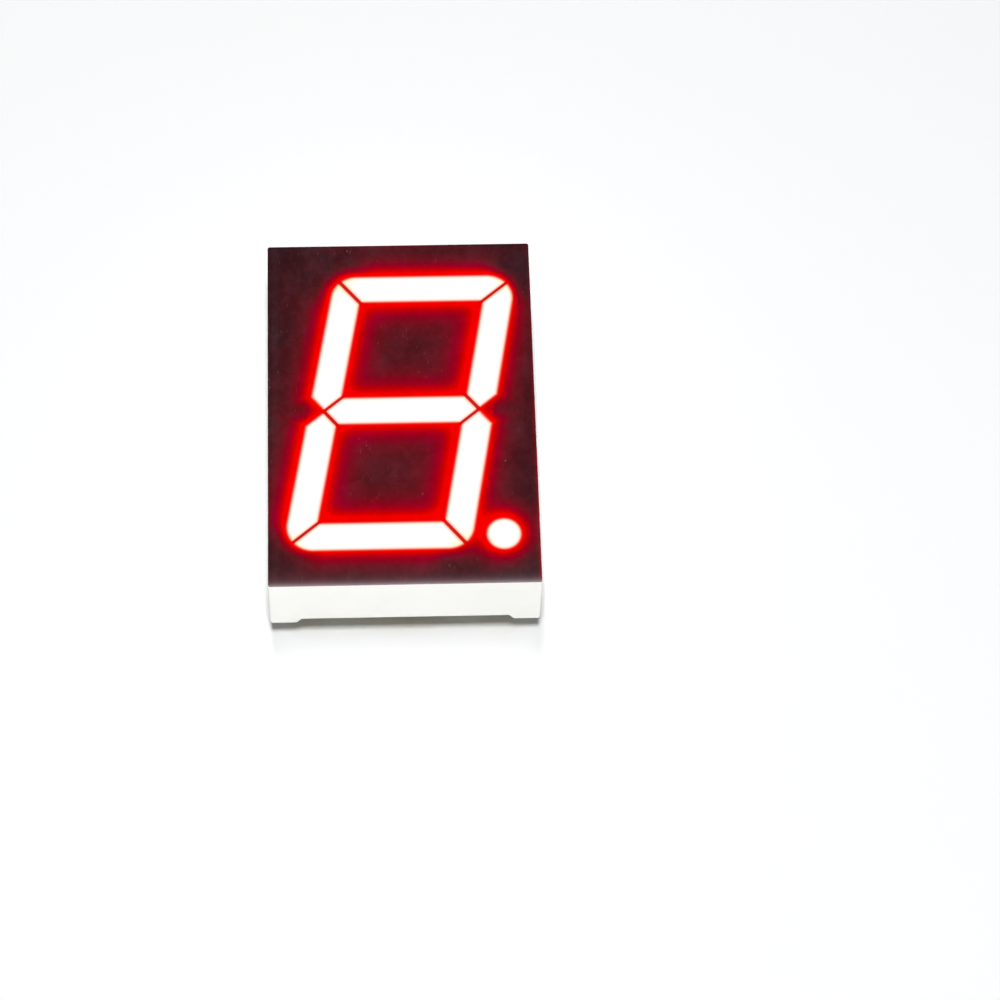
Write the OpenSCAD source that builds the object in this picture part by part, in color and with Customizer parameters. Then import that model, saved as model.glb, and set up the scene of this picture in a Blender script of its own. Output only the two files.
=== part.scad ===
// Seven segment display with a decimal point, lying face up on the tips of its pins.
// X runs across the digit, Y up the digit, Z out of the face. The origin is the centre of the
// footprint, at the pin tips. Lengths are in millimetres.

/* [Body] */
// Width of the body, across the digit
body_w = 48; // [47:0.5:52]
// Height of the body, along the digit
body_h = 70; // [69:0.5:76]
// Depth from the face to the underside of the corner feet
body_d = 14.4; // [12.4:0.1:15]
// Thickness of the outer walls
wall_t = 1; // [0.8:0.1:1.2]
// Radius of the upright corners
body_r = 0.4; // [0.2:0.1:0.8]
// Thickness of the front plate of the moulding
plate_t = 1.5; // [1:0.1:2]
// Thickness of the dark film on the front plate
film_t = 0.25; // [0.15:0.05:0.4]
// Height of the corner feet below the outer walls
foot_h = 1.4; // [0.5:0.1:1.6]
// Length of each arm of a corner foot, with its ramp
foot_len = 5.6; // [3:0.1:8]
// Run of the ramp
foot_ramp = 0.9; // [0.5:0.1:1.6]

/* [Digit] */
// Height of the digit over the outer edges of its segments
digit_h = 56.2; // [55:0.1:57]
// Width of the digit over the same edges, before it is slanted
digit_w = 33.2; // [32.5:0.1:34]
// Width of a segment
stroke = 5.3; // [5:0.1:5.6]
// Gap between neighbouring segments
seg_gap = 0.55; // [0.4:0.05:0.8]
// Radius of the digit's outer corners
digit_r = 4.7; // [3.8:0.1:5]
// Radius of each segment's own corners
tip_r = 0.4; // [0.2:0.1:0.6]
// Slant of the digit, in degrees
slant = 10; // [8:0.5:11]
// Diameter of the decimal point
point_d = 6; // [5:0.1:6.2]
// Distance of the decimal point right of the centre
point_x = 17.6; // [17.4:0.1:18]
// Distance of the decimal point below the centre
point_y = 25.4; // [25:0.1:25.8]

/* [Light wells] */
// How far the walls of a light well close in between the face and the board
well_taper = 1.2; // [1:0.1:1.3]
// The same for the decimal point's well
point_taper = 0.6; // [0.4:0.1:0.8]
// Depth of the straight stretch of a light well below the film
well_land = 0.6; // [0.4:0.1:1]
// Thickness of the wall round the light wells
well_wall = 0.8; // [0.6:0.1:1]

/* [Back pockets] */
// Width of a pocket over its walls, before it is slanted
pocket_w = 17.4; // [16:0.1:18]
// Height of a pocket over its walls
pocket_h = 16; // [15:0.1:16.4]
// Distance of a pocket's centre above or below the centre of the digit
pocket_y = 13; // [12.8:0.1:13.2]
// Thickness of the walls of the pockets
pocket_wall = 0.8; // [0.6:0.1:1]
// Distance of the diagonal wall left of the centre, before it is slanted
diagonal_x = 19.8; // [19.6:0.1:20.2]
// Thickness of the diagonal wall
diagonal_t = 0.95; // [0.8:0.05:1.1]

/* [Board and resin] */
// Depth of the resin's surface inside the outer walls
resin_drop = 3.5; // [3:0.1:3.8]
// Thickness of the resin over the board
resin_over = 1.3; // [1.1:0.1:1.5]
// Thickness of the board
board_t = 1.6; // [1.2:0.1:1.6]
// Gap round the edges of the board
board_gap = 0.3; // [0.2:0.05:0.4]
// Diameter of the flow holes in the board
flow_d = 1.8; // [1.2:0.1:1.8]
// Diameter of the two locating posts
post_d = 1.6; // [1.2:0.1:1.8]
// Thickness of the copper
copper_t = 0.035; // [0.035:0.035:0.07]
// Width of a copper track
track_w = 0.5; // [0.3:0.05:0.5]

/* [Pins] */
// Diameter of a pin
pin_d = 0.5; // [0.4:0.05:0.6]
// Distance between neighbouring pins of a row
pin_pitch = 2.54; // [2.4:0.01:2.6]
// Distance between the two rows of pins
row_gap = 60.96; // [60.6:0.06:61.2]
// Length of a pin below the corner feet
pin_out = 4.8; // [3:0.1:6]
// Diameter of the collar that stops a pin at the board
collar_d = 1.1; // [1:0.05:1.2]

/* [Chips] */
// Width of a light emitting chip
chip_w = 0.36; // [0.3:0.02:0.4]
// Height of a light emitting chip
chip_h = 0.25; // [0.2:0.01:0.3]
// Diameter of a bond wire
wire_d = 0.05; // [0.04:0.01:0.06]

/* [Hidden] */
$fn = 48;
eps = 0.01;
arc_steps = 6;
tip_steps = 3;

// Heights above the pin tips
feet_z = pin_out;
rim_z = feet_z + foot_h;
resin_z = rim_z + resin_drop;
board_z = resin_z + resin_over;
well_z = board_z + board_t;
face_z = feet_z + body_d;
film_z = face_z - film_t;
plate_z = film_z - plate_t;
land_z = film_z - well_land;

// The digit's grid: the segments' centre lines, before the slant, run at 0 and at these distances
half_stroke = stroke / 2;
grid_x = digit_w / 2 - half_stroke;
grid_y = digit_h / 2 - half_stroke;

// Posts: clearance in the board, and the resin over their ends
post_gap = 0.1;
post_skin = 0.3;

// Rows of chips: the number in a segment and in the point, the distance between them, and the
// distance from the middle of a row to the vias at its ends
chips = 4;
pitch_across = 5;
pitch_up = 4.2;
via_across = 10.5;
via_up = 8.6;
point_chips = 2;
point_pitch = 1.3;
point_via = 1.7;
point_shift = 0.15;

// Pads under the chips, and the bond wires
pad_w = 0.9;
pad_gap = 0.3;
chip_edge = 0.5;
wire_span = 1;

// Vias and the tracks' clearance from the pockets
via_d = 0.4;
via_pad_d = 0.9;
track_gap = 0.3;

// Pins: number in a row, bevelled tip, end above the board, solder and pad at the board
pins_in_row = 5;
pin_tip_d = 0.3;
pin_tip = 0.2;
pin_head = 0.6;
collar_skin = 0.05;
pin_pad_d = 1.9;
solder_d = 1.8;
solder_top_d = 1.3;
solder_h = 0.7;

// Flow holes in the board, before the slant
flow_holes = [
    [13.3, 28.8], [-15.95, 28.1], [-13.7, 23.7], [18.1, 2.2],
    [13.2, -0.3], [-13, -0.2], [14.7, -27.9], [23.6, -30.4]
];

// Ejector marks, one in the floor of each pocket: size, and distance from the pocket's centre to
// the side, and up, before the slant. The two mirror each other.
mark_d = 2.2;
mark_depth = 0.1;
mark_x = 5.6;
mark_y = 5;

// Routes of the tracks on the back of the board, before the slant, from a row of chips to the
// top pins. The bottom pins have the same routes, turned half round.
lane_x = pocket_w / 2 + board_gap + track_gap + track_w / 2;
bar_y = 2.4;
pin_lane_y = 22.6;
side_x = grid_x + 1.45;
side_y = grid_y / 2 - via_up;
side_elbow_x = 11.3;
lane_elbow_y = 24;
top_route = [[9, 27.4], [0.5, 27.4]];
inner_route = [[-12.3, 23], [-12.3, 25.2], [-8, 29]];
outer_route = [[12.1, 23.8], [12.1, 26.4], [9.4, 29.1], [1.5, 29.1]];
middle_route = [[-10.6, 8], [-16.6, 14], [-16.6, 25.4]];
point_route = [[side_x, -bar_y], [17.8, -6], [17.8, -18.5]];
point_elbow_y = 22.5;
point_common_x = point_x + point_shift - point_via;
point_own_x = point_x + point_shift + point_via;
point_pin_route = [[point_own_x, -27.3], [17.6, -29], [15.6, -29], [14.1, -row_gap / 2]];

// Each segment: its name, its column (-1 left, 0 middle, 1 right) and row (2 top, 1 upper side,
// 0 middle, -1 lower side, -2 bottom), the end of its row of chips where its own track leaves
// (1 right or top, -1 left or bottom), its pin, and the route to it
SEGMENTS = [
    ["a", 0, 2, 1, 7, top_route],
    ["b", 1, 1, 1, 6, outer_route],
    ["c", 1, -1, -1, 4, -inner_route],
    ["d", 0, -2, -1, 2, -top_route],
    ["e", -1, -1, -1, 1, -outer_route],
    ["f", -1, 1, 1, 9, inner_route],
    ["g", 0, 0, -1, 10, middle_route]
];
function seg_name(s) = s[0];
function seg_column(s) = s[1];
function seg_row(s) = s[2];
function seg_side(s) = s[3];
function seg_pin(s) = s[4];
function seg_route(s) = s[5];
POINT_PIN = 5;
COMMON_PINS = [8, 3];

// ---- Outlines ----

function slant_point(p) = [p[0] + p[1] * tan(slant), p[1]];
function upright_point(p) = [p[0] - p[1] * tan(slant), p[1]];
function slanted(points) = [for (p = points) slant_point(p)];
function backwards(points) = [for (i = [len(points) - 1 : -1 : 0]) points[i]];

// Points of an arc about c, from angle a0 to angle a1
function arc(c, r, a0, a1, steps = arc_steps) =
    [for (i = [0 : steps]) let (a = a0 + (a1 - a0) * i / steps) c + r * [cos(a), sin(a)]];

function box(w, h) = [[-w / 2, -h / 2], [w / 2, -h / 2], [w / 2, h / 2], [-w / 2, h / 2]];

function round_box(w, h, r) = [
    each arc([w / 2 - r, h / 2 - r], r, 0, 90),
    each arc([-w / 2 + r, h / 2 - r], r, 90, 180),
    each arc([-w / 2 + r, -h / 2 + r], r, 180, 270),
    each arc([w / 2 - r, -h / 2 + r], r, 270, 360)
];

function flipped(points) = backwards([for (p = points) [-p[0], p[1]]]);

// Centre of the upper right round corner of a figure that is then slanted
function corner(w, h, r) = [w / 2 - r / cos(slant), h / 2 - r];

// Points about c that lie on a circle after the slant. The slant sharpens the corner where lean
// is 1. Where lean is -1 it widens it, because the corner is flipped to the left before the slant.
function lean_arc(c, r, a0, a1, lean) =
    [for (p = arc([0, 0], r, a0, a1)) c + [p[0] - lean * p[1] * tan(slant), p[1]]];

// Box whose corners are round after the slant
function lean_box(w, h, r) = let (
        sharp = lean_arc(corner(w, h, r), r, -slant, 90, 1),
        wide = flipped(lean_arc(corner(w, h, r), r, slant, 90, -1))
    ) [each sharp, each wide, each -sharp, each -wide];

// Distance along the grid by which a mitred end stands back from its grid point
function mitre(inset) = (seg_gap / 2 + inset) * sqrt(2);

// Angle at which a mitred end meets the digit's round corner; m is its distance from the
// diagonal, along the grid, and is negative for a side segment
function mitre_angle(r, m, lean) = let (n = 1 + lean * tan(slant))
    acos((digit_r * (1 / cos(slant) - 1) - m) / (r * norm([1, n]))) - atan(n);

// Top segment's share of a round corner, and a side segment's share. The point at the tip comes
// first or last, and the next one leaves room to round it.
function tip_room(r) = 75 * tip_r / r;
function top_arc(inset, lean) = let (
        c = corner(digit_w, digit_h, digit_r),
        r = digit_r - inset,
        tip = mitre_angle(r, mitre(inset), lean)
    ) [lean_arc(c, r, tip, 90, lean)[0], each lean_arc(c, r, tip + tip_room(r), 90, lean)];
function side_arc(inset, lean) = let (
        c = corner(digit_w, digit_h, digit_r),
        r = digit_r - inset,
        tip = mitre_angle(r, -mitre(inset), lean)
    ) [each lean_arc(c, r, -lean * slant, tip - tip_room(r), lean), lean_arc(c, r, tip, 90, lean)[0]];

// Top segment, closed in by inset on every side
function bar_top(inset) = let (s = half_stroke - inset, end = grid_x - s - mitre(inset)) [
    each top_arc(inset, 1),
    each flipped(top_arc(inset, -1)),
    [-end, grid_y - s],
    [end, grid_y - s]
];

// Middle segment
function bar_middle(inset) = let (s = half_stroke - inset, end = grid_x - mitre(inset)) [
    [end, 0], [end - s, s], [s - end, s], [-end, 0], [s - end, -s], [end - s, -s]
];

// Upper right segment, or for lean -1 the upper left one, flipped
function bar_side(inset, lean) = let (s = half_stroke - inset, m = mitre(inset)) [
    [grid_x, m],
    [grid_x + s, s + m],
    each side_arc(inset, lean),
    [grid_x - s, grid_y - s - m],
    [grid_x - s, s + m]
];

// Any segment, counter-clockwise: the top or an upper side one, turned half round if it is low
function bar(column, row, inset) =
    row == 0 ? bar_middle(inset)
    : row == 2 ? bar_top(inset)
    : row == -2 ? -bar_top(inset)
    : column * row > 0 ? row * bar_side(inset, 1)
    : row * flipped(bar_side(inset, -1));

// Points that round off the corner at b of an outline that runs from a through b to c
function turn(a, b, c) = let (u = b - a, v = c - b) atan2(cross(u, v), u * v);
function blunt_corner(a, b, c) = let (
        half_turn = turn(a, b, c) / 2,
        r = min(tip_r, 0.7 * min(norm(b - a), norm(c - b)) / tan(half_turn)),
        ahead = (b - a) / norm(b - a),
        start = atan2(ahead[1], ahead[0]) - 90
    ) arc(b - ahead * r * tan(half_turn) + r * [-ahead[1], ahead[0]], r, start,
        start + 2 * half_turn, tip_steps);

// Outline with its corners rounded, other than the slight ones along an arc
function blunt(line) = let (n = len(line))
    [for (i = [0 : n - 1]) let (a = line[(i + n - 1) % n], b = line[i], c = line[(i + 1) % n])
        each turn(a, b, c) < 30 ? [b] : blunt_corner(a, b, c)];

function segment_line(s, inset) = blunt(slanted(bar(seg_column(s), seg_row(s), inset)));

// Outline of a track along a line of points, with mitred bends
function direction(p, q) = (q - p) / norm(q - p);
function track_side(line, i) = let (
        last = len(line) - 1,
        d0 = direction(line[max(i - 1, 0)], line[max(i, 1)]),
        d1 = direction(line[min(i, last - 1)], line[min(i + 1, last)]),
        across = [-d0[1] - d1[1], d0[0] + d1[0]]
    ) across * track_w / 2 / (1 + d0 * d1);
function track_outline(line) = [
    for (i = [0 : len(line) - 1]) line[i] - track_side(line, i),
    for (i = [len(line) - 1 : -1 : 0]) line[i] + track_side(line, i)
];

// ---- Places ----

// Pins are numbered left to right along the bottom row, then right to left along the top one
function pin_at(number) = let (middle_pin = (pins_in_row + 1) / 2)
    number <= pins_in_row
    ? [(number - middle_pin) * pin_pitch, -row_gap / 2]
    : [(pins_in_row + middle_pin - number) * pin_pitch, row_gap / 2];

// The middle of a segment's row of chips, and its end on the given side, before the slant
function lies_across(s) = seg_column(s) == 0;
function row_middle(s) = [seg_column(s) * grid_x, seg_row(s) * grid_y / 2];
function row_end(s, side) =
    row_middle(s) + side * (lies_across(s) ? [via_across, 0] : [0, via_up]);

function row_pitch(s) = lies_across(s) ? pitch_across : pitch_up;
function row_via(s) = lies_across(s) ? via_across : via_up / cos(slant);

// Centre of chip i in a row of count chips
function chip_at(i, count, pitch) = (i - (count - 1) / 2) * pitch;

// Puts a row along X onto segment s, with its last chip where the segment's own track leaves
module on_segment(s) {
    turn = (lies_across(s) ? 0 : 90 - slant) + (seg_side(s) > 0 ? 0 : 180);
    translate(slant_point(row_middle(s))) rotate(turn) children();
}

module at_point() {
    translate([point_x, -point_y]) children();
}

module on_point() {
    at_point() translate([point_shift, 0]) children();
}

// ---- Shared shapes ----

module slab(points, z0, z1) {
    translate([0, 0, z0]) linear_extrude(z1 - z0) polygon(points);
}

module rod(p, d, z0, z1) {
    translate([p[0], p[1], z0]) cylinder(h = z1 - z0, d = d);
}

// Solid between two outlines with the same number of points, counter-clockwise from above
module frustum(low, high, z0, z1) {
    n = len(low);
    polyhedron(
        [for (p = low) [p[0], p[1], z0], for (p = high) [p[0], p[1], z1]],
        [
            [for (i = [0 : n - 1]) i],
            [for (i = [n - 1 : -1 : 0]) n + i],
            for (i = [0 : n - 1]) [n + i, n + (i + 1) % n, (i + 1) % n, i]
        ]
    );
}

module body_prism(z0, z1) {
    slab(round_box(body_w, body_h, body_r), z0, z1);
}

// Space of a segment's light well, from the board to the height top
module light_well(s, top) {
    frustum(segment_line(s, well_taper), segment_line(s, 0), well_z, land_z);
    slab(segment_line(s, 0), land_z, top);
}

// Space of the decimal point's light well
module point_well(top) {
    at_point() {
        translate([0, 0, well_z])
            cylinder(h = land_z - well_z, d1 = point_d - 2 * point_taper, d2 = point_d);
        rod([0, 0], point_d, land_z, top);
    }
}

// The two blocks that hold the light wells: a slanted figure with two windows, and a round one
module well_blocks(z1) {
    difference() {
        slab(slanted(lean_box(digit_w + 2 * well_wall, digit_h + 2 * well_wall,
            digit_r + well_wall)), well_z, z1);
        window = box(2 * (grid_x - half_stroke - well_wall), grid_y - stroke - 2 * well_wall);
        for (side = [-1, 1]) {
            slab(slanted([for (p = window) p + [0, side * grid_y / 2]]), well_z - eps, z1 + eps);
        }
    }
    at_point() rod([0, 0], point_d + 2 * well_wall, well_z, z1);
}

// Prisms of the two back pockets, over their walls or closed in by inset
module pocket_prisms(z0, z1, inset = 0) {
    for (side = [-1, 1]) {
        outline = box(pocket_w - 2 * inset, pocket_h - 2 * inset);
        slab(slanted([for (p = outline) p + [0, side * pocket_y]]), z0, z1);
    }
}

// Everything left of a slanted line that crosses the X axis at x
module left_of_line(x, z0, z1) {
    slab([slant_point([x, -body_h]), slant_point([x, body_h]), [-body_w, body_h],
        [-body_w, -body_h]], z0, z1);
}

// The room inside the outer walls and right of the diagonal wall, with a gap all round
module inside(z0, z1, gap = 0) {
    difference() {
        slab(box(body_w - 2 * wall_t - 2 * gap, body_h - 2 * wall_t - 2 * gap), z0, z1);
        left_of_line(-diagonal_x + diagonal_t / 2 + gap, z0 - eps, z1 + eps);
    }
}

module posts(d, z0, z1) {
    for (side = [-1, 1]) {
        rod(slant_point(side * [grid_x, grid_y]), d, z0, z1);
    }
}

// ---- Moulding and film ----

// Corner foot with two arms, each ending in a ramp
module foot() {
    arm = [[0, eps], [foot_len, eps], [foot_len - foot_ramp, -foot_h], [0, -foot_h]];
    rotate([90, 0, 0]) translate([0, 0, -wall_t]) linear_extrude(wall_t) polygon(arm);
    rotate([90, 0, 90]) linear_extrude(wall_t) polygon(arm);
}

module feet() {
    intersection() {
        for (mx = [0, 1], my = [0, 1]) {
            mirror([mx, 0, 0]) mirror([0, my, 0])
                translate([-body_w / 2, -body_h / 2, rim_z]) foot();
        }
        body_prism(feet_z - eps, rim_z + eps);
    }
}

module outer_walls() {
    difference() {
        body_prism(rim_z, plate_z + eps);
        slab(box(body_w - 2 * wall_t, body_h - 2 * wall_t), rim_z - eps, plate_z + 2 * eps);
    }
}

module diagonal_wall() {
    intersection() {
        slab(box(body_w - wall_t, body_h - wall_t), rim_z, plate_z + eps);
        difference() {
            left_of_line(-diagonal_x + diagonal_t / 2, rim_z, plate_z + eps);
            left_of_line(-diagonal_x - diagonal_t / 2, rim_z - eps, plate_z + 2 * eps);
        }
    }
}

module pocket_walls() {
    difference() {
        pocket_prisms(rim_z, plate_z + eps);
        pocket_prisms(rim_z - eps, plate_z + 2 * eps, pocket_wall);
    }
}

module ejector_marks() {
    for (side = [-1, 1]) {
        rod(slant_point([-side * mark_x, side * pocket_y + mark_y]), mark_d, plate_z - eps,
            plate_z + mark_depth);
    }
}

module reflector_shell() {
    color("white") difference() {
        union() {
            body_prism(plate_z, film_z);
            outer_walls();
            feet();
            diagonal_wall();
            pocket_walls();
            well_blocks(plate_z + eps);
            posts(post_d, resin_z + post_skin, well_z + eps);
        }
        for (s = SEGMENTS) {
            light_well(s, film_z + eps);
        }
        point_well(film_z + eps);
        ejector_marks();
    }
}

module face_film() {
    color([0.22, 0.11, 0.13]) difference() {
        body_prism(film_z, face_z);
        for (s = SEGMENTS) {
            slab(segment_line(s, 0), film_z - eps, face_z + eps);
        }
        at_point() rod([0, 0], point_d, film_z - eps, face_z + eps);
    }
}

// ---- Rows of chips, with their pads and wires, along X on the chip side of the board ----

module pad_strip(x0, x1) {
    translate([x0, -pad_w / 2, well_z]) cube([x1 - x0, pad_w, copper_t]);
}

// Pads between the first and the last one: each holds a chip and takes the next one's wire
module middle_pads(count, pitch) {
    for (i = [0 : count - 2]) {
        pad_strip(chip_at(i, count, pitch) - chip_edge,
            chip_at(i + 1, count, pitch) - chip_edge - pad_gap);
    }
}

// Pad for the first chip's wire, out to the via of the common track
module first_pad(count, pitch, via) {
    pad_strip(-via - via_pad_d / 2, chip_at(0, count, pitch) - chip_edge - pad_gap);
}

// Pad under the last chip, out to the via of the segment's own track
module last_pad(count, pitch, via) {
    pad_strip(chip_at(count - 1, count, pitch) - chip_edge, via + via_pad_d / 2);
}

module chip_row(count, pitch) {
    for (i = [0 : count - 1]) {
        translate([chip_at(i, count, pitch) - chip_w / 2, -chip_w / 2, well_z + copper_t])
            cube([chip_w, chip_w, chip_h]);
    }
}

// Each wire leaves its chip's top in a half ring and drops to the pad before it
module wire_row(count, pitch) {
    pad_top = well_z + copper_t;
    for (i = [0 : count - 1]) {
        translate([chip_at(i, count, pitch) - wire_span, 0]) {
            translate([wire_span / 2, 0, pad_top + chip_h]) rotate([90, 0, 0])
                rotate_extrude(angle = 180) translate([wire_span / 2, 0]) circle(d = wire_d);
            rod([0, 0], wire_d, pad_top, pad_top + chip_h);
        }
    }
}

// Everything that the resin in a light well is cast round, and a little more under the pads
module row_space(count, pitch, via) {
    for (drop = [0, eps]) {
        translate([0, 0, -drop]) {
            first_pad(count, pitch, via);
            middle_pads(count, pitch);
            last_pad(count, pitch, via);
        }
    }
    chip_row(count, pitch);
    wire_row(count, pitch);
}

module chip_pads() {
    color("peru") {
        for (s = SEGMENTS) {
            on_segment(s) middle_pads(chips, row_pitch(s));
        }
        on_point() middle_pads(point_chips, point_pitch);
    }
}

module segment_chips(s) {
    color("gold") on_segment(s) chip_row(chips, row_pitch(s));
}

module point_chip_row() {
    color("gold") on_point() chip_row(point_chips, point_pitch);
}

module segment_wires(s) {
    color("goldenrod") on_segment(s) wire_row(chips, row_pitch(s));
}

module point_wires() {
    color("goldenrod") on_point() wire_row(point_chips, point_pitch);
}

module segment_lens(s) {
    color([1, 0.35, 0.3]) difference() {
        light_well(s, face_z);
        on_segment(s) row_space(chips, row_pitch(s), row_via(s));
    }
}

module decimal_point_lens() {
    color([1, 0.35, 0.3]) difference() {
        point_well(face_z);
        on_point() row_space(point_chips, point_pitch, point_via);
    }
}

// ---- Copper on the back of the board ----

// Plug through the board, with its pad on the back
module via(x) {
    rod([x, 0], via_d, board_z, well_z);
    rod([x, 0], via_pad_d, board_z - copper_t, board_z);
}

module track(line) {
    slab(track_outline(line), board_z - copper_t, board_z);
}

// Ring of copper round a pin
module pin_pads(numbers) {
    for (number = numbers) {
        rod(pin_at(number), pin_pad_d, board_z - copper_t, board_z);
    }
}

module pin_holes(numbers) {
    for (number = numbers) {
        rod(pin_at(number), pin_d, board_z - copper_t - eps, well_z + eps);
    }
}

module segment_track(s) {
    color("peru") difference() {
        union() {
            on_segment(s) {
                last_pad(chips, row_pitch(s), row_via(s));
                via(row_via(s));
            }
            track(slanted([row_end(s, seg_side(s)), each seg_route(s),
                upright_point(pin_at(seg_pin(s)))]));
            pin_pads([seg_pin(s)]);
        }
        pin_holes([seg_pin(s)]);
    }
}

module track_point() {
    color("peru") difference() {
        union() {
            on_point() {
                last_pad(point_chips, point_pitch, point_via);
                via(point_via);
            }
            track([[point_own_x, -point_y], each point_pin_route, pin_at(POINT_PIN)]);
            pin_pads([POINT_PIN]);
        }
        pin_holes([POINT_PIN]);
    }
}

// Tracks that join both middle pins and the first chip of every row
module common_lines() {
    lane_top = [-lane_x, pin_lane_y];
    lane_end = [-lane_x, -bar_y];
    pin = upright_point(pin_at(COMMON_PINS[0]));
    for (k = [1, -1]) {
        track(k * slanted([pin, [pin[0], pin_lane_y], lane_top, lane_end, [0, 0]]));
        track(k * slanted([[-via_across, grid_y], [-via_across, lane_elbow_y], lane_top]));
        track(k * slanted([[grid_x, side_y], [side_x, bar_y], [side_x, -bar_y], [grid_x, -side_y]]));
        track(k * slanted([lane_end, [-side_elbow_x, -side_y], [-grid_x, -side_y]]));
    }
    track(slanted([[via_across, 0], [lane_x, 0]]));
    track([each slanted(point_route), [point_common_x, -point_elbow_y],
        [point_common_x, -point_y]]);
}

module common_track() {
    color("peru") difference() {
        union() {
            common_lines();
            for (s = SEGMENTS) {
                on_segment(s) {
                    first_pad(chips, row_pitch(s), row_via(s));
                    via(-row_via(s));
                }
            }
            on_point() {
                first_pad(point_chips, point_pitch, point_via);
                via(-point_via);
            }
            pin_pads(COMMON_PINS);
        }
        pin_holes(COMMON_PINS);
    }
}

// ---- Board, pins, solder and resin ----

module circuit_board() {
    z0 = board_z - eps;
    z1 = well_z + eps;
    color("darkkhaki") difference() {
        inside(board_z, well_z, board_gap);
        pocket_prisms(z0, z1, -board_gap);
        for (p = flow_holes) {
            rod(slant_point(p), flow_d, z0, z1);
        }
        posts(post_d + 2 * post_gap, z0, z1);
        pin_holes([1 : 2 * pins_in_row]);
        for (s = SEGMENTS, side = [-1, 1]) {
            on_segment(s) rod([side * row_via(s), 0], via_d, z0, z1);
        }
        for (side = [-1, 1]) {
            on_point() rod([side * point_via, 0], via_d, z0, z1);
        }
    }
}

// Round pin with a bevelled tip, and a collar that stops it at the board
module pin(number) {
    collar_z = resin_z + collar_skin;
    color("silver") translate(pin_at(number)) {
        cylinder(h = pin_tip, d1 = pin_tip_d, d2 = pin_d);
        rod([0, 0], pin_d, pin_tip, collar_z);
        rod([0, 0], collar_d, collar_z, board_z - copper_t);
        rod([0, 0], pin_d, board_z - copper_t, well_z + pin_head);
    }
}

module solder_joints() {
    top = board_z - copper_t;
    color("lightgray") for (number = [1 : 2 * pins_in_row]) {
        difference() {
            translate([each pin_at(number), top - solder_h])
                cylinder(h = solder_h, d1 = solder_top_d, d2 = solder_d);
            rod(pin_at(number), collar_d, top - solder_h - eps, top + eps);
        }
    }
}

// The back of the body, filled round everything that it holds
module potting_resin() {
    color([0.82, 0.86, 0.87, 0.6]) difference() {
        inside(resin_z, plate_z);
        pocket_prisms(resin_z - eps, plate_z + eps);
        well_blocks(plate_z + eps);
        posts(post_d, resin_z + post_skin, well_z + eps);
        circuit_board();
        common_track();
        for (s = SEGMENTS) {
            segment_track(s);
        }
        track_point();
        for (number = [1 : 2 * pins_in_row]) {
            pin(number);
        }
        solder_joints();
    }
}

reflector_shell();
face_film();
circuit_board();
common_track();
chip_pads();
for (s = SEGMENTS) {
    segment_lens(s);
    segment_track(s);
    segment_chips(s);
    segment_wires(s);
}
decimal_point_lens();
track_point();
point_chip_row();  // chips_point
point_wires();  // wires_point
for (number = [1 : 2 * pins_in_row]) {
    pin(number);
}
solder_joints();
potting_resin();
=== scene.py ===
"""Seven segment display, lit, lying face up on the tips of its pins."""
import math

import bmesh
import bpy
from mathutils import Matrix, Vector
from mathutils.geometry import delaunay_2d_cdt


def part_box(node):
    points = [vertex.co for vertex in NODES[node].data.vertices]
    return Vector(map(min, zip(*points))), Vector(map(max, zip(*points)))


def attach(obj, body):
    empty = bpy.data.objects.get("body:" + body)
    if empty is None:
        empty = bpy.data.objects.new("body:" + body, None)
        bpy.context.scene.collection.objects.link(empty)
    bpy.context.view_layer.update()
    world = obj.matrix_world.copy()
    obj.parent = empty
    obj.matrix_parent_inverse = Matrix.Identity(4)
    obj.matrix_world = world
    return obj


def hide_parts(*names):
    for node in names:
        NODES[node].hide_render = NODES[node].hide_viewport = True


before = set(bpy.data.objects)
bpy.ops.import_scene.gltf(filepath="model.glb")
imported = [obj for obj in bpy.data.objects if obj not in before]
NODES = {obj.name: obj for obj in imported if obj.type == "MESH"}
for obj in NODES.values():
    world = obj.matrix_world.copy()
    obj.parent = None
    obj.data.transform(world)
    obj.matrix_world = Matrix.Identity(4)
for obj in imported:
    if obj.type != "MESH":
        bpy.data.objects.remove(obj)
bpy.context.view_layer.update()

MM = 0.001

# Sizes of the part, in millimetres, with Z out of the face and the origin at the pin tips
BODY_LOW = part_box("reflector_shell")[0] / MM
FACE_LOW, FACE_HIGH = (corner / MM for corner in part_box("face_film"))
RESIN_LOW, RESIN_HIGH = (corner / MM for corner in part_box("potting_resin"))
BOARD_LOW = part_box("circuit_board")[0] / MM
FOOT_H = 1.4
RIM_Z = BODY_LOW.z + FOOT_H  # the rim of the outer walls, between the corner feet
RESIN_Z = RESIN_LOW.z  # the resin's flat surface
FLOOR_Z = RESIN_HIGH.z  # the back of the front plate, which is the pockets' floor
LEAN = math.radians(10)
SLANT = math.tan(LEAN)
STROKE = 5.3
GAP = 0.55
DIGIT_HALF = Vector((33.2, 56.2)) / 2
DIGIT_R = 4.7
GRID = DIGIT_HALF - Vector((STROKE, STROKE)) / 2  # the outer segments' centre lines
WINDOW_HALF = Vector((GRID.x - STROKE / 2, (GRID.y - STROKE) / 2))  # a counter of the digit
POINT = Vector((17.6, -25.4))
POINT_R = 3.0
POCKET_HALF = Vector((8.7, 8.0))
POCKET_Y = 13.0
DIAGONAL_X = -19.8 + 0.95 / 2  # the diagonal wall's right face, at the digit's centre line
PINS = [f"pin_{number}" for number in range(1, 11)]
PIN_R = 0.25
# The resin's raised edge: its height at a wall or a pin, and how fast that falls off
MENISCUS, MENISCUS_REACH = 1.0, 1.05
PIN_MENISCUS, PIN_REACH = 0.55, 0.32
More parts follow.
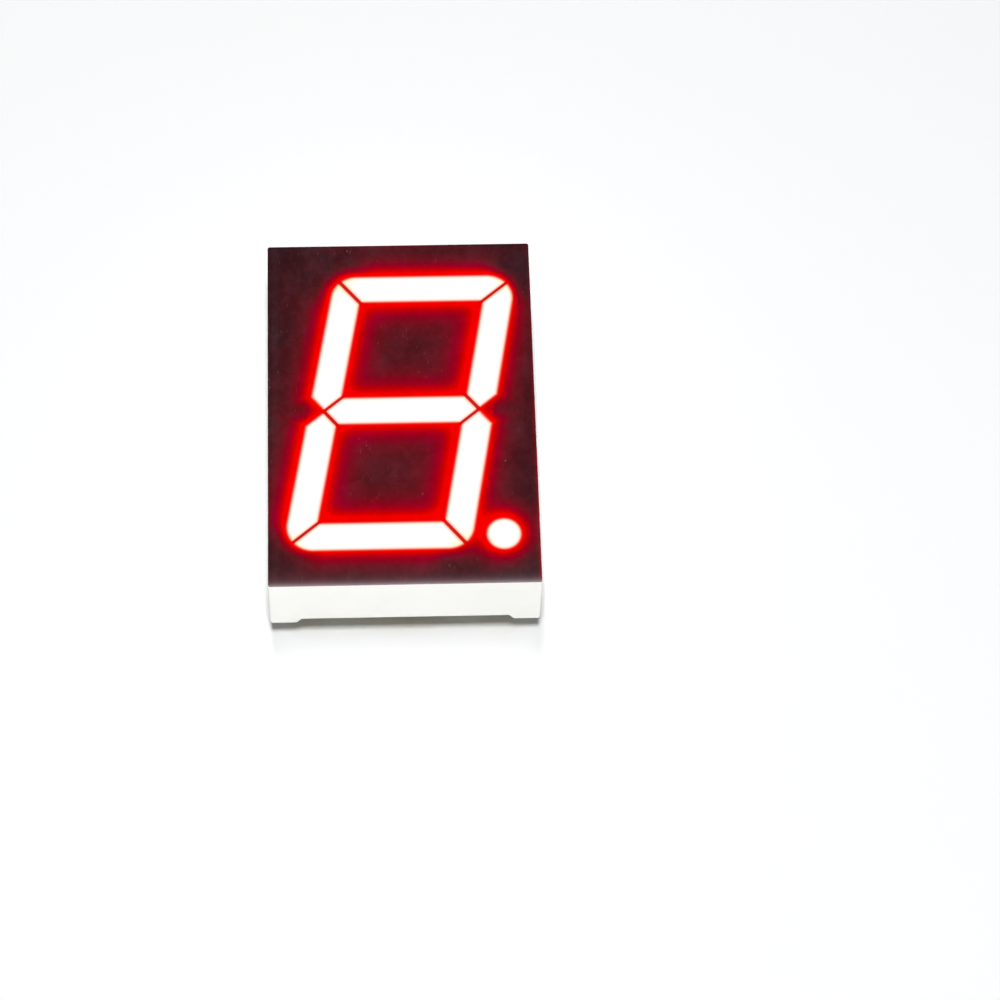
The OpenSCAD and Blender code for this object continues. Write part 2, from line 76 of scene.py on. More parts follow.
# Centres of the board's flow holes and of the moulding's two posts, before they are slanted
FLOW_HOLES = [(13.3, 28.8), (-15.95, 28.1), (-13.7, 23.7), (18.1, 2.2),
              (13.2, -0.3), (-13.0, -0.2), (14.7, -27.9), (23.6, -30.4)]
POSTS = [(GRID.x, GRID.y), (-GRID.x, -GRID.y)]


def slanted(point):
    """A point of the upright digit, moved to where the slant puts it"""
    return Vector((point[0] + point[1] * SLANT, point[1]))


DIGIT_CORNER = slanted(DIGIT_HALF)  # the upper right corner of the slanted box


# ---- Node maths ----

class Field:
    """A number that varies over a surface, with arithmetic done by nodes."""

    def __init__(self, tree, socket):
        self.tree, self.socket = tree, socket

    def math(self, operation, *others):
        node = self.tree.nodes.new("ShaderNodeMath")
        node.operation = operation
        for socket, value in zip(node.inputs, (self, *others)):
            put(self.tree, socket, value)
        return Field(self.tree, node.outputs[0])

    def __add__(self, other): return self.math("ADD", other)
    def __sub__(self, other): return self.math("SUBTRACT", other)
    def __mul__(self, other): return self.math("MULTIPLY", other)
    def __truediv__(self, other): return self.math("DIVIDE", other)
    def __abs__(self): return self.math("ABSOLUTE")
    def __neg__(self): return self * -1
    def least(self, other): return self.math("MINIMUM", other)
    def most(self, other): return self.math("MAXIMUM", other)

    def decay(self, length):
        """e to the power of minus self over length"""
        return (self / -length).math("EXPONENT")

    def step(self, low, high):
        """0 at low and 1 at high, with a smooth change between them"""
        node = self.tree.nodes.new("ShaderNodeMapRange")
        node.interpolation_type = "SMOOTHSTEP"
        for name, value in (("Value", self), ("From Min", low), ("From Max", high)):
            put(self.tree, node.inputs[name], value)
        return Field(self.tree, node.outputs["Result"])


def put(tree, socket, value):
    if isinstance(value, Field):
        tree.links.new(value.socket, socket)
    else:
        socket.default_value = value


def rgb(red, green, blue):
    """A colour given as the screen shows it, from 0 to 255."""
    linear = [((c / 255 + 0.055) / 1.055) ** 2.4 if c > 10 else c / 255 / 12.92
              for c in (red, green, blue)]
    return (*linear, 1.0)


def hypot(a, b):
    return (a * a + b * b).math("SQRT")


class Finish:
    """A Principled material, with the tools to drive it."""

    def __init__(self, name, **uniform):
        self.material = bpy.data.materials.new(name)
        self.material.use_nodes = True
        self.tree = self.material.node_tree
        self.shader = self.tree.nodes["Principled BSDF"]
        for key, value in uniform.items():
            self.set(key.replace("_", " "), value)
        coords = self.tree.nodes.new("ShaderNodeTexCoord")
        scale = self.tree.nodes.new("ShaderNodeVectorMath")
        scale.operation = "SCALE"
        scale.inputs["Scale"].default_value = 1 / MM
        self.tree.links.new(coords.outputs["Object"], scale.inputs[0])
        self.coords = Field(self.tree, scale.outputs[0])
        self.normal = None

    def set(self, socket, value):
        put(self.tree, self.shader.inputs[socket], value)

    def axes(self):
        node = self.tree.nodes.new("ShaderNodeSeparateXYZ")
        put(self.tree, node.inputs[0], self.coords)
        return [Field(self.tree, output) for output in node.outputs]

    def texture(self, kind, scale, stretch=(1, 1, 1), output=0, **settings):
        """A procedural texture; scale is in repeats a millimetre"""
        mapping = self.tree.nodes.new("ShaderNodeMapping")
        mapping.inputs["Scale"].default_value = stretch
        put(self.tree, mapping.inputs["Vector"], self.coords)
        node = self.tree.nodes.new(f"ShaderNodeTex{kind}")
        self.tree.links.new(mapping.outputs[0], node.inputs["Vector"])
        node.inputs["Scale"].default_value = scale
        for key, value in settings.items():
            if key in node.inputs:
                node.inputs[key].default_value = value
            elif hasattr(node, key):
                setattr(node, key, value)
            else:
                node.inputs[key.replace("_", " ")].default_value = value
        return Field(self.tree, node.outputs[output])

    def noise(self, scale, detail=2.0, roughness=0.5, stretch=(1, 1, 1), **settings):
        return self.texture("Noise", scale, stretch, Detail=detail, Roughness=roughness, **settings)

    def mix(self, factor, low, high):
        node = self.tree.nodes.new("ShaderNodeMix")
        node.data_type = "RGBA"
        put(self.tree, node.inputs[0], factor)
        put(self.tree, node.inputs[6], low)
        put(self.tree, node.inputs[7], high)
        return Field(self.tree, node.outputs[2])

    def colour(self, red, green, blue):
        node = self.tree.nodes.new("ShaderNodeCombineColor")
        for socket, value in zip(node.inputs, (red, green, blue)):
            put(self.tree, socket, value)
        return Field(self.tree, node.outputs[0])

    def bump(self, height, depth):
        """Relief whose height runs from 0 to 1 over depth millimetres"""
        node = self.tree.nodes.new("ShaderNodeBump")
        node.inputs["Distance"].default_value = depth * MM
        node.inputs["Strength"].default_value = 1.0
        put(self.tree, node.inputs["Height"], height)
        if self.normal:
            put(self.tree, node.inputs["Normal"], self.normal)
        self.normal = Field(self.tree, node.outputs[0])
        self.set("Normal", self.normal)


def assign(finish, *names):
    for name in names:
        for slot in NODES[name].material_slots:
            slot.material = finish.material


def called(*starts):
    return [name for name in NODES if name.startswith(starts)]


# ---- The digit's outline as distances, in millimetres ----

def outline_distance(x, y):
    """Distance outside the digit's outline, a slanted box with round corners; minus inside it"""
    wide, high = DIGIT_HALF.x - DIGIT_R / math.cos(LEAN), DIGIT_HALF.y - DIGIT_R
    turn = y.math("SIGN")
    x, y = x * turn, abs(y)
    u = x - y * SLANT
    across = (abs(u) - wide) * math.cos(LEAN)
    along = x * math.sin(LEAN) + y * math.cos(LEAN) - u.math("SIGN") * (wide * math.sin(LEAN))
    side = hypot(across, (along - high / math.cos(LEAN)).most(0))
    top = hypot((abs(x - high * SLANT) - wide).most(0), y - high)
    inner = across.most(y - high)
    outside = side.least(top) * inner.math("GREATER_THAN", 0)
    return outside + inner.least(0) - DIGIT_R


def corner_distance(x, y):
    """Distance from the nearest corner of the digit's slanted box, before it is rounded"""
    return hypot(abs(x - y * SLANT) - DIGIT_HALF.x, abs(y) - DIGIT_HALF.y)


def window_distance(u, v, blur):
    """Distance inside a window of the digit, rounded off by blur near its corners; minus outside"""
    across, up = -abs(u) + WINDOW_HALF.x, -abs(v) + WINDOW_HALF.y
    return across.math("SMOOTH_MIN", up, blur)


def digit_fields(finish, shift=(0, 0), blur=0.0):
    """Distances from the digit's outline, from its windows, from the gaps, and from the point"""
    x, y, _ = finish.axes()
    x, y = x - shift[0], y - shift[1]
    u = x - y * SLANT
    a, b = abs(u), hypot(y, blur * 0.4)
    outline = outline_distance(x, y)
    window = window_distance(u, b - GRID.y / 2, blur)
    notch = (a - GRID.x - hypot(y, blur * 0.1)) / math.sqrt(2) + GAP / 2
    corner_gap = abs(a - b + (GRID.y - GRID.x)) / math.sqrt(2) - GAP / 2
    middle_gap = abs(a + b - GRID.x) / math.sqrt(2) - GAP / 2
    point = hypot(x - POINT.x, y - POINT.y) - POINT_R
    return x, y, outline, window, notch, corner_gap, middle_gap, point


# ---- Materials ----

# The glow in the film: where it lies, in millimetres, how far it reaches, and how strong it is
GLOW_SHIFT, GLOW_BLUR, GLOW_START, GLOW_MOST = (-0.26, 0.22), 4.0, 0.7, 0.90
NEAR_REACH, NEAR_LEVEL = 1.14, 0.77
FAR_REACH, FAR_LEVEL = 3.8, 0.095
SPOT_START, SPOT_REACH, SPOT_LEVEL = 0.5, 1.15, 1.12
WINDOW_GLOW = 0.024


def moulding_finish():
    finish = Finish("moulding_white", IOR=1.53)
    patches = finish.noise(0.09, 3)
    finish.set("Base Color", finish.mix(patches, rgb(243, 243, 239), rgb(250, 250, 247)))
    grain = finish.noise(5.5, 4, 0.65)
    finish.set("Roughness", finish.noise(0.5, 3) * 0.16 + grain * 0.10 + 0.26)
    finish.bump(finish.noise(0.22, 2), 0.045)
    finish.bump(grain, 0.006)
    return finish


def film_glow(finish, x, y, inside):
    """Red light spread in the film by the lit segments and point. A tight halo lies within a
    wide faint one, and both lie a little to the upper left of what they come from."""
    _, _, outline, window, notch, _, _, spot = digit_fields(finish, GLOW_SHIFT, GLOW_BLUR)
    away = outline.most(window).most(notch) - GLOW_START
    # The halo is narrow round the digit's corners, save the one by the point, and more so at
    # the upper right; it is weaker in the notches of the waist and reaches further in a window
    corner = corner_distance(x, y).step(8, 3) * (spot.step(2, 9) * 0.6 + 0.4)
    dim = hypot(x - DIGIT_CORNER.x, y - DIGIT_CORNER.y).step(14, 5)
    waist = abs(y).step(2.6, 0.6) * abs(x - y * SLANT).step(GRID.x + 0.3, GRID.x + 1.2)
    near_reach = inside * 0.16 + corner * -0.42 + dim * -0.15 + NEAR_REACH
    near = away.decay(near_reach) * (corner * -0.20 + waist * -0.42 + NEAR_LEVEL)
    far_level = inside * 0.205 + corner * -0.065 + dim * -0.03 + waist * 0.07 + FAR_LEVEL
    far = away.decay(inside * -0.6 + FAR_REACH) * far_level.most(0)
    spot = (spot - SPOT_START).decay(SPOT_REACH) * SPOT_LEVEL
    return (near + far + spot + inside * WINDOW_GLOW).least(GLOW_MOST)


def film_finish():
    finish = Finish("face_film_dark", IOR=1.5, Emission_Strength=1.0)
    x, y, outline, window, notch, corner_gap, middle_gap, point = digit_fields(finish)
    digit = outline.most(window).most(notch)
    inside = outline.step(0.4, -0.4)
    glow = film_glow(finish, x, y, inside)

    # Light that leaks under the film's right edge, low down, and under the middle of its top edge,
    # and a painted sheen: the pale rim of its bottom edge
    right = (x * -1 + FACE_HIGH.x).decay(0.30) * (y.step(20, -22) * 0.21 + 0.05)
    top = (y * -1 + FACE_HIGH.y).decay(0.25) * x.step(-20, -8) * x.step(14, 4) * 0.10
    bottom = y - FACE_LOW.y
    # Painted sheen: the film is lighter towards its bottom edge, most of all on its rim
    painted_bottom_sheen = bottom.decay(1.6) * 0.026 + bottom.decay(0.42) * 0.21

    # Handling marks: broad smudges, finer mottling, and wipes that run up the face
    smudge = finish.noise(0.10, 3, 0.55, Distortion=0.6).step(0.40, 0.68)
    mottle = finish.noise(0.42, 4, 0.62, Distortion=0.8).step(0.30, 0.78)
    wipe = finish.noise(0.5, 3, 0.6, stretch=(1.5, 0.22, 1)).step(0.44, 0.78)
    lift = smudge * 0.30 + mottle * 0.46 + wipe * 0.26 + 0.46
    grey = finish.noise(0.13, 3, 0.6, stretch=(1, 0.6, 1)).step(0.46, 0.70)
    left = x - FACE_LOW.x
    stripe = left.step(0.5, 1.0) * left.step(2.6, 1.4) * (wipe * 0.5 + 0.5)
    in_gap = digit.step(0.04, -0.04)
    red = (glow + right + top) * (mottle * 0.14 + smudge * 0.08 + 0.92) * (in_gap * -0.30 + 1)
    fringe = digit.least(point).most(0).decay(0.07) * corner_gap.least(middle_gap).step(0, 0.22)
    fringe = fringe.most(in_gap * 0.035)
    finish.set("Emission Color", finish.colour(red, fringe * 0.36, fringe * 0.26))

    # Unlit film: a dark brownish purple, which the red glow drowns, with a few specks of dust.
    # For red, green and blue: its own tint, the smudges' and the painted sheen's, and the glow that
    # leaves all of it and the glow that leaves none
    speck = finish.texture("Voronoi", 0.46, stretch=(1, 0.7, 1), feature="F1").step(0.09, 0.03)
    kept = finish.noise(0.19, 1).step(0.50, 0.56)
    fibre = finish.noise(1.1, 2, 0.5, stretch=(2.6, 0.5, 1)).step(0.69, 0.74)
    dust = (speck * kept * 0.064).most(fibre * 0.024) * glow.step(0.35, 0.04)
    base = [(lift * (grey * grey_tint + film_tint) + stripe * 0.006 + painted_bottom_sheen * painted_sheen_tint)
            * glow.step(drowned, clear) + dust
            for film_tint, grey_tint, painted_sheen_tint, clear, drowned in (
                (0.044, -0.015, 1.1, 0.04, 0.50), (0.0088, 0.0060, 0.92, 0.01, 0.25),
                (0.0130, 0.0050, 1.0, 0.24, 0.68))]
    finish.set("Base Color", finish.colour(*base))
    finish.set("Specular IOR Level", glow.step(0.45, 0.05) * 0.02)
    tooth = finish.noise(9.0, 3, 0.6)
    finish.set("Roughness", wipe * 0.10 + tooth * 0.14 + mottle * 0.06 + 0.34)
    finish.bump(finish.noise(0.35, 2), 0.012)
    finish.bump(tooth, 0.005)
    return finish


def lens_finish():
    finish = Finish("lens_lit", IOR=1.5, Specular_IOR_Level=0.3, Emission_Strength=1.0)
    x, y, outline, window, notch, corner_gap, middle_gap, point = digit_fields(finish)
    tip = corner_distance(x, y).step(5.2, 2.2)
    segment = (-outline).least(-window).least(-notch).least(corner_gap).least(middle_gap)
    depth = segment.most(-point).most(0)
    cloud = finish.noise(0.35, 3, 0.55)
    level = cloud * 0.05 + 0.80
    red = level - depth.decay(0.10) * 0.06
    green = level * (depth.decay(0.23) * -0.93 + 1)
    blue = level * (depth.decay(0.27) * -1.0 + 1) * (tip * -0.30 + 0.985)
    finish.set("Emission Color", finish.colour(red, green, blue))
    # Painted glow: the lens's base colour turns red near the segments' edges, like the red rim of
    # their light
    painted_red_rim = depth.decay(0.30)
    finish.set("Base Color", finish.colour(painted_red_rim * -0.02 + 0.22, painted_red_rim * -0.17 + 0.20,
                                           painted_red_rim * -0.165 + 0.19))
    finish.set("Roughness", finish.noise(3.0, 3) * 0.2 + 0.32)
    finish.bump(finish.noise(0.4, 2), 0.02)
    finish.bump(finish.noise(7.0, 3, 0.6), 0.004)
    return finish


def resin_finish():
    finish = Finish("resin_milky", IOR=1.5, Coat_Weight=0.6, Coat_Roughness=0.04)
    x, y, z = finish.axes()
    climb = (z * -1 + RESIN_Z) / MENISCUS
    # Painted shade: the resin is darker in a band where its edge rises along the walls and pockets,
    # and lighter again right against the walls
    painted_meniscus_shade = climb.step(0.04, 0.32)
    cloud = finish.noise(0.07, 4, 0.55)
    body = finish.mix(cloud, rgb(198, 208, 212), rgb(216, 222, 226))
    body = finish.mix(painted_meniscus_shade * 0.85, body, rgb(152, 160, 150))
    body = finish.mix(climb.step(0.75, 1.05), body, rgb(196, 204, 198))
    # Painted shade: dark soft spots where the board's flow holes are seen through the resin
    for number, place in enumerate(FLOW_HOLES):
        place = slanted(place)
        away = hypot(x - place.x, y - place.y) + (cloud - 0.5) * 0.5
        body = finish.mix(away.step(1.35, 0.25) * (0.55 if number % 3 else 0.75), body,
                          rgb(112, 118, 108))
    for place in POSTS:
        place = slanted(place)
        away = hypot(x - place.x, y - place.y)
        body = finish.mix(away.step(1.7, 0.9) * 0.55, body, rgb(140, 146, 138))
        body = finish.mix(away.step(0.85, 0.55), body, rgb(232, 234, 230))
    finish.set("Base Color", body)
    finish.set("Roughness", finish.noise(0.25, 3) * 0.10 + 0.10)
    finish.bump(finish.noise(0.09, 2), 0.10)
    finish.bump(finish.noise(0.9, 3), 0.006)
    return finish


def metal_finish(name, low, high, roughness, scale, stretch=(1, 1, 1), relief=0.004):
    finish = Finish(name, Metallic=1.0)
    stain = finish.noise(scale * 0.3, 4, 0.6)
    grain = finish.noise(scale, 4, 0.65, stretch=stretch)
    finish.set("Base Color", finish.mix(stain.step(0.3, 0.75), rgb(*low), rgb(*high)))
    finish.set("Roughness", stain * 0.14 + grain * 0.12 + roughness)
    finish.bump(grain, relief)
    return finish


def board_finish():
    finish = Finish("board_glass_epoxy", IOR=1.55)
    warp, weft = (finish.texture("Wave", 0.45, stretch=stretch, Distortion=1.2,
                                 bands_direction=direction)
                  for stretch, direction in (((1, 0.02, 0.02), "X"), ((0.02, 1, 0.02), "Y")))
    weave = warp.most(weft)
    tone = finish.noise(0.12, 3)
    base = finish.mix(weave * 0.6, rgb(172, 168, 112), rgb(204, 198, 142))
    finish.set("Base Color", finish.mix(tone * 0.5, base, rgb(188, 176, 118)))
    finish.set("Roughness", weave * 0.1 + 0.3)
    finish.bump(weave, 0.012)
    return finish


def chip_finish():
    finish = Finish("chip_semiconductor", Metallic=0.55, Emission_Strength=1.0)
    facets = finish.texture("Voronoi", 14.0, feature="F1")
    grain = finish.noise(22.0, 3)
    finish.set("Base Color", finish.mix(facets, rgb(206, 158, 70), rgb(120, 84, 52)))
    finish.set("Emission Color", finish.colour(grain * 0.3 + 0.6, grain * 0.06, grain * 0.02))
    finish.set("Roughness", grain * 0.2 + 0.2)
    finish.bump(facets, 0.003)
    return finish


# ---- Shapes ----

def mesh_object(name, mesh, finish, node):
    piece = bpy.data.objects.new(name, mesh)
    bpy.context.scene.collection.objects.link(piece)
    mesh.materials.clear()
    mesh.materials.append(finish.material)
    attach(piece, "root")
    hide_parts(node)
    return piece


def rounded_copy(name, node, finish, passes):
    """A copy of a CAD node with some of its sharp edges rounded. Each pass is a radius in
    millimetres, a number of steps, and a test of an edge's two ends and of its being convex."""
    shape = bmesh.new()
    shape.from_mesh(NODES[node].data)
    bmesh.ops.remove_doubles(shape, verts=shape.verts, dist=1e-7)
    bmesh.ops.dissolve_limit(shape, angle_limit=math.radians(0.4), verts=shape.verts,
                             edges=shape.edges)
    for radius, steps, wanted in passes:
        edges = []
        for edge in shape.edges:
            if len(edge.link_faces) == 2 and edge.calc_face_angle() > math.radians(35):
                ends = [vert.co / MM for vert in edge.verts]
                if wanted(*ends, edge.is_convex):
                    edges.append(edge)
        bmesh.ops.bevel(shape, geom=edges, offset=radius * MM, segments=steps, profile=0.5,
                        affect="EDGES", clamp_overlap=True, miter_outer="ARC",
                        harden_normals=False)
    bmesh.ops.triangulate(shape, faces=shape.faces)
    mesh = bpy.data.meshes.new(name)
    shape.to_mesh(mesh)
    shape.free()
    mesh.polygons.foreach_set("use_smooth", [True] * len(mesh.polygons))
    mesh.set_sharp_from_angle(angle=math.radians(33))
    piece = mesh_object(name, mesh, finish, node)
    weighted = piece.modifiers.new("normals", "WEIGHTED_NORMAL")
    weighted.keep_sharp = True
    return piece


def outward(corners, distance, pitch):
    """Points at a distance round a convex counter-clockwise outline"""
    points = []
    for i, corner in enumerate(corners):
        ahead = corners[(i + 1) % len(corners)]
        along = (ahead - corner).normalized()
        out = Vector((along.y, -along.x))
        behind = (corner - corners[i - 1]).normalized()
        out_behind = Vector((behind.y, -behind.x))
        turn = out_behind.angle_signed(out)
        arc_steps = max(1, math.ceil(abs(turn) * distance / pitch)) if distance else 0
        for k in range(arc_steps):
            part_turn = Matrix.Rotation(-turn * k / arc_steps, 2)
            points.append(corner + part_turn @ out_behind * distance)
        count = max(1, round((ahead - corner).length / pitch))
        points += [corner.lerp(ahead, k / count) + out * distance for k in range(count)]
    return points


def inward(corners, distance, pitch):
    """Points at a distance inside a convex counter-clockwise outline"""
    lines = []
    for i, corner in enumerate(corners):
        along = (corners[(i + 1) % len(corners)] - corner).normalized()
        shift = Vector((-along.y, along.x)) * distance
        lines.append((corner + shift, along))
    inner = []
    for i, (start, along) in enumerate(lines):
        before, along_before = lines[i - 1]
        reach = (start - before).cross(along) / along_before.cross(along)
        inner.append(before + along_before * reach)
    points = []
    for i, corner in enumerate(inner):
        ahead = inner[(i + 1) % len(inner)]
        count = max(1, round((ahead - corner).length / pitch))
        points += [corner.lerp(ahead, k / count) for k in range(count)]
    return points


def convex_distance(corners, point):
    """Distance outside a convex counter-clockwise outline, or minus the distance inside it"""
    within = -1e9
    nearest = 1e9
    for i, corner in enumerate(corners):
        span = corners[(i + 1) % len(corners)] - corner
        along = span.normalized()
        offset = point - corner
        within = max(within, offset.dot(Vector((along.y, -along.x))))
        t = min(max(offset.dot(along), 0), span.length)
        nearest = min(nearest, (offset - along * t).length)
    return nearest if within > 0 else within


def resin_piece(finish):
    """The resin's back, with the raised edge where it wets the walls and pins, as a closed slab"""
    wall_clear, pocket_clear, pin_clear = 2.4, 3.0, 1.5  # kept free of the plain grid
    top, bottom, left = RESIN_HIGH.y, RESIN_LOW.y, RESIN_LOW.x
    room = [Vector((left, bottom)), Vector((RESIN_HIGH.x, bottom)), Vector((RESIN_HIGH.x, top)),
            slanted((DIAGONAL_X, top)), Vector((left, (left - DIAGONAL_X) / SLANT))]
    pockets = [[slanted((sx * POCKET_HALF.x, side * POCKET_Y + sy * POCKET_HALF.y))
                for sx, sy in ((-1, -1), (1, -1), (1, 1), (-1, 1))] for side in (1, -1)]
    pins = []
    for name in PINS:
        low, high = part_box(name)
        pins.append(((low + high) / 2 / MM).to_2d())

    def around(centre, distance, count=24):
        return [centre + Vector((math.cos(t), math.sin(t))) * (PIN_R + distance)
                for t in (2 * math.pi * k / count for k in range(count))]

    # Rings of points, close together where the raised edge is steep, and a grid between them
    loops = []
    for distance in (0, 0.12, 0.26, 0.43, 0.65, 0.95, 1.35, 1.9, 2.6):
        pitch = 0.35 + distance * 0.25
        if distance < wall_clear:
            loops.append(inward(room, distance, pitch))
        loops += [outward(pocket, distance, pitch) for pocket in pockets]
    for distance in (0, 0.08, 0.18, 0.32, 0.52, 0.8):
        loops += [around(pin, distance) for pin in pins]

    points, lines = [], []
    for loop in loops:
        first = len(points)
        points += loop
        lines += [(first + i, first + (i + 1) % len(loop)) for i in range(len(loop))]
    spread = 1.1
    rows = int((top - bottom) / spread)
    for j in range(1, rows):
        for i in range(1, int((RESIN_HIGH.x - RESIN_LOW.x) / spread)):
            place = Vector((RESIN_LOW.x + (i + 0.5 * (j % 2)) * spread, bottom + j * spread))
            if (convex_distance(room, place) <= -wall_clear
                    and min(convex_distance(pocket, place) for pocket in pockets) >= pocket_clear
                    and min((pin - place).length for pin in pins) >= pin_clear):
                points.append(place)

    verts, _, faces, _, _, _ = delaunay_2d_cdt(points, lines, [], 0, 1e-5)

    def solid(place):
        return (convex_distance(room, place) < 0
                and min(convex_distance(pocket, place) for pocket in pockets) > 0
                and min((pin - place).length for pin in pins) > PIN_R * 0.98)

    def height(place):
        dry = 1.0
        for i, corner in enumerate(room):
            along = (room[(i + 1) % len(room)] - corner).normalized()
            away = max(0, (place - corner).dot(Vector((-along.y, along.x))))
            dry *= 1 - math.exp(-away / MENISCUS_REACH)
        for pocket in pockets:
            dry *= 1 - math.exp(-max(0, convex_distance(pocket, place)) / MENISCUS_REACH)
        rise = MENISCUS * (1 - dry)
        for pin in pins:
            rise += PIN_MENISCUS * math.exp(-max(0, (pin - place).length - PIN_R) / PIN_REACH)
        swell = 0.05 * math.sin(place.x / 6.1 + 0.7) * math.sin(place.y / 8.3 + 1.9)
        return RESIN_Z - rise + swell

    kept = [face for face in faces
            if solid(sum((verts[i] for i in face), Vector((0, 0))) / len(face))]
    used = sorted({i for face in kept for i in face})
    index = {old: new for new, old in enumerate(used)}
    shape = bmesh.new()
    surface = [shape.verts.new((*(verts[i] * MM), height(verts[i]) * MM)) for i in used]
    for face in kept:
        shape.faces.new([surface[index[i]] for i in reversed(face)])
    edges = [edge for edge in shape.edges if len(edge.link_faces) == 1]
    walls = bmesh.ops.extrude_edge_only(shape, edges=edges)["geom"]
    for vert in {item for item in walls if isinstance(item, bmesh.types.BMVert)}:
        vert.co.z = BOARD_LOW.z * MM
    back = {}
    for vert in surface:
        for edge in vert.link_edges:
            other = edge.other_vert(vert)
            if abs(other.co.z - BOARD_LOW.z * MM) < 1e-9:
                back[vert] = other
    for face in kept:
        ring = []
        for i in face:
            vert = surface[index[i]]
            if vert not in back:
                back[vert] = shape.verts.new((vert.co.x, vert.co.y, BOARD_LOW.z * MM))
            ring.append(back[vert])
        shape.faces.new(ring)
    for face in shape.faces:
        face.smooth = True
    bmesh.ops.recalc_face_normals(shape, faces=shape.faces)
    mesh = bpy.data.meshes.new("resin_back")
    shape.to_mesh(mesh)
    shape.free()
    mesh.set_sharp_from_angle(angle=math.radians(75))
    return mesh_object("resin_back", mesh, finish, "potting_resin")


# ---- The object ----

moulding = moulding_finish()
film = film_finish()
lens = lens_finish()
resin = resin_finish()
copper = metal_finish("copper_tracks", (196, 122, 86), (168, 96, 70), 0.28, 3.0)
gold = metal_finish("bond_wire_gold", (236, 196, 112), (214, 168, 88), 0.16, 18.0)
tin = metal_finish("pin_tinned", (208, 208, 205), (184, 184, 180), 0.22, 3.0, (3, 3, 0.4), 0.006)
solder = metal_finish("solder_frosted", (214, 214, 212), (176, 176, 174), 0.22, 4.5, relief=0.012)
board = board_finish()
chip = chip_finish()

assign(moulding, "reflector_shell")
assign(film, "face_film")
assign(lens, *called("segment_"), "decimal_point_lens")
assign(resin, "potting_resin")
assign(copper, "common_track", "chip_pads", *called("track_"))
assign(gold, *called("wires_"))
assign(chip, *called("chips_"))
assign(tin, *called("pin_"))
assign(solder, "solder_joints")
assign(board, "circuit_board")


def at_rim(a, b, convex):
    return convex and max(a.z, b.z) < RIM_Z + 0.05


def at_floor(a, b, convex):
    return not convex and min(a.z, b.z) > FLOOR_Z - 0.02 and max(a.z, b.z) < FLOOR_Z + 0.02


def on_outer_edge(a, b, convex):
    return convex and min(a.z, b.z) > FACE_HIGH.z - 0.02 and all(
        abs(p.x) > FACE_HIGH.x - 0.45 or abs(p.y) > FACE_HIGH.y - 0.45 for p in (a, b))


rounded_copy("moulding", "reflector_shell", moulding,
             [(0.16, 3, at_rim), (0.30, 3, at_floor)])
rounded_copy("film", "face_film", film, [(0.16, 3, on_outer_edge)])
resin_piece(resin)

# ---- Floor, light and camera ----

white = Finish("studio_floor", Roughness=0.9, Specular_IOR_Level=0.1)
# Painted shade: the floor's colour darkens to a warm tint where the body covers it, so the shadow
# right under the body is warm. The shadow right under the body has the photo's warm tint
cover = white.tree.nodes.new("ShaderNodeAmbientOcclusion")
cover.samples = 12
cover.inputs["Distance"].default_value = 12 * MM
painted_floor_shade = Field(white.tree, cover.outputs["AO"]).step(0.70, 0.54)
paper = white.mix(white.noise(0.004, 3), rgb(252, 252, 253), rgb(253, 254, 254))
white.set("Base Color", white.mix(painted_floor_shade, paper, rgb(218, 206, 170)))
white.bump(white.noise(0.6, 3), 0.01)
bpy.ops.mesh.primitive_plane_add(size=3.0, location=(0, 0, 0))
floor = bpy.context.object
floor.name = "studio_floor"
floor.data.materials.append(white.material)

world = bpy.data.worlds.new("studio")
bpy.context.scene.world = world
world.use_nodes = True
studio = world.node_tree
backdrop = studio.nodes["Background"]
direction = studio.nodes.new("ShaderNodeSeparateXYZ")
studio.links.new(studio.nodes.new("ShaderNodeTexCoord").outputs["Generated"], direction.inputs[0])
height = Field(studio, direction.outputs["Z"])
path = studio.nodes.new("ShaderNodeLightPath")
seen = Field(studio, path.outputs["Is Camera Ray"])
for ray in ("Is Glossy Ray", "Is Transmission Ray"):
    seen = seen.most(Field(studio, path.outputs[ray]))
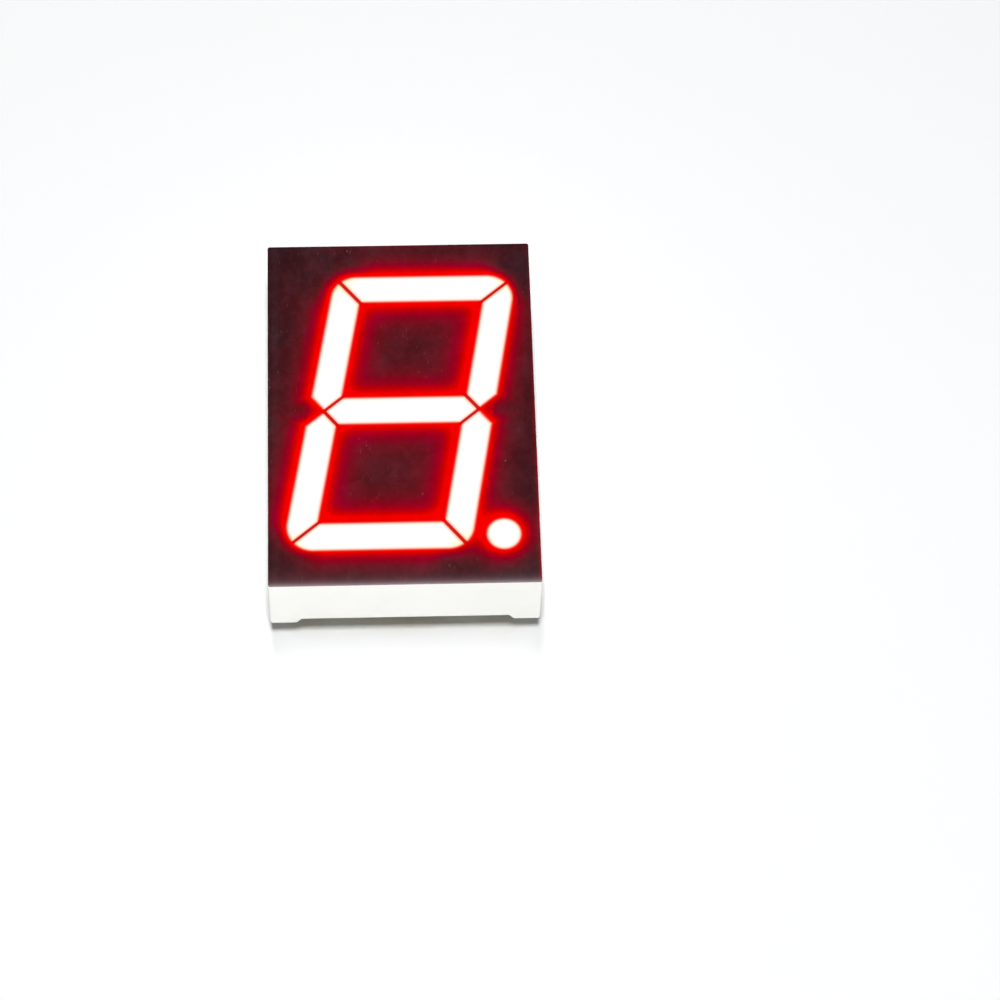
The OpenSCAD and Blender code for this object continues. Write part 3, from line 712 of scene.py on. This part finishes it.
# A white backdrop to the eye. As light: a bright band just above the horizon for the sides, a
# weaker fill from below it for the back, and little from above, where the softboxes are
low_band = height.step(0.20, 0.05) * height.step(-0.03, 0.0)
below = height.step(0.0, -0.03)
LOW_LIGHT, BELOW_LIGHT, SKY_LIGHT = 4.0, 0.75, 0.04
put(studio, backdrop.inputs["Strength"],
    seen + (-seen + 1) * (low_band * LOW_LIGHT + below * BELOW_LIGHT + SKY_LIGHT))
warm = studio.nodes.new("ShaderNodeMix")
warm.data_type = "RGBA"
put(studio, warm.inputs[0], (-seen + 1) * low_band)
warm.inputs[6].default_value = (1.0, 1.0, 1.0, 1.0)
warm.inputs[7].default_value = (1.0, 0.97, 0.92, 1.0)
studio.links.new(warm.outputs[2], backdrop.inputs["Color"])


def softbox(name, place, size, power):
    """A rectangular lamp that faces the object: its place and size in metres, power in watts"""
    lamp = bpy.data.lights.new(name, "AREA")
    lamp.shape, lamp.size, lamp.size_y = "RECTANGLE", *size
    lamp.energy = power
    lamp.color = (0.99, 0.995, 1.0)
    fixture = bpy.data.objects.new(name, lamp)
    fixture.location = place
    fixture.rotation_euler = (-Vector(place)).to_track_quat("-Z", "Y").to_euler()
    bpy.context.scene.collection.objects.link(fixture)


softbox("overhead_softbox", (0.0, -0.20, 0.90), (0.10, 0.17), 6.0)
softbox("rear_softbox", (-0.03, 0.24, 0.88), (0.10, 0.34), 2.0)

camera_data = bpy.data.cameras.new("camera")
camera_data.sensor_width = 36.0
camera_data.lens = 128.03
camera = bpy.data.objects.new("camera", camera_data)
bpy.context.scene.collection.objects.link(camera)
# The view fitted to the photo, in millimetres and degrees
eye = Vector((-4.97, -316.76, 574.01)) * MM
target = Vector((17.08, -18.66, FACE_HIGH.z)) * MM
roll = Matrix.Rotation(math.radians(2.726), 3, "Z")
camera.location = eye
camera.rotation_euler = ((target - eye).to_track_quat("-Z", "Y").to_matrix() @ roll).to_euler()
camera_data.clip_start, camera_data.clip_end = 0.05, 10.0
bpy.context.scene.camera = camera

bpy.context.scene.view_settings.view_transform = "Standard"
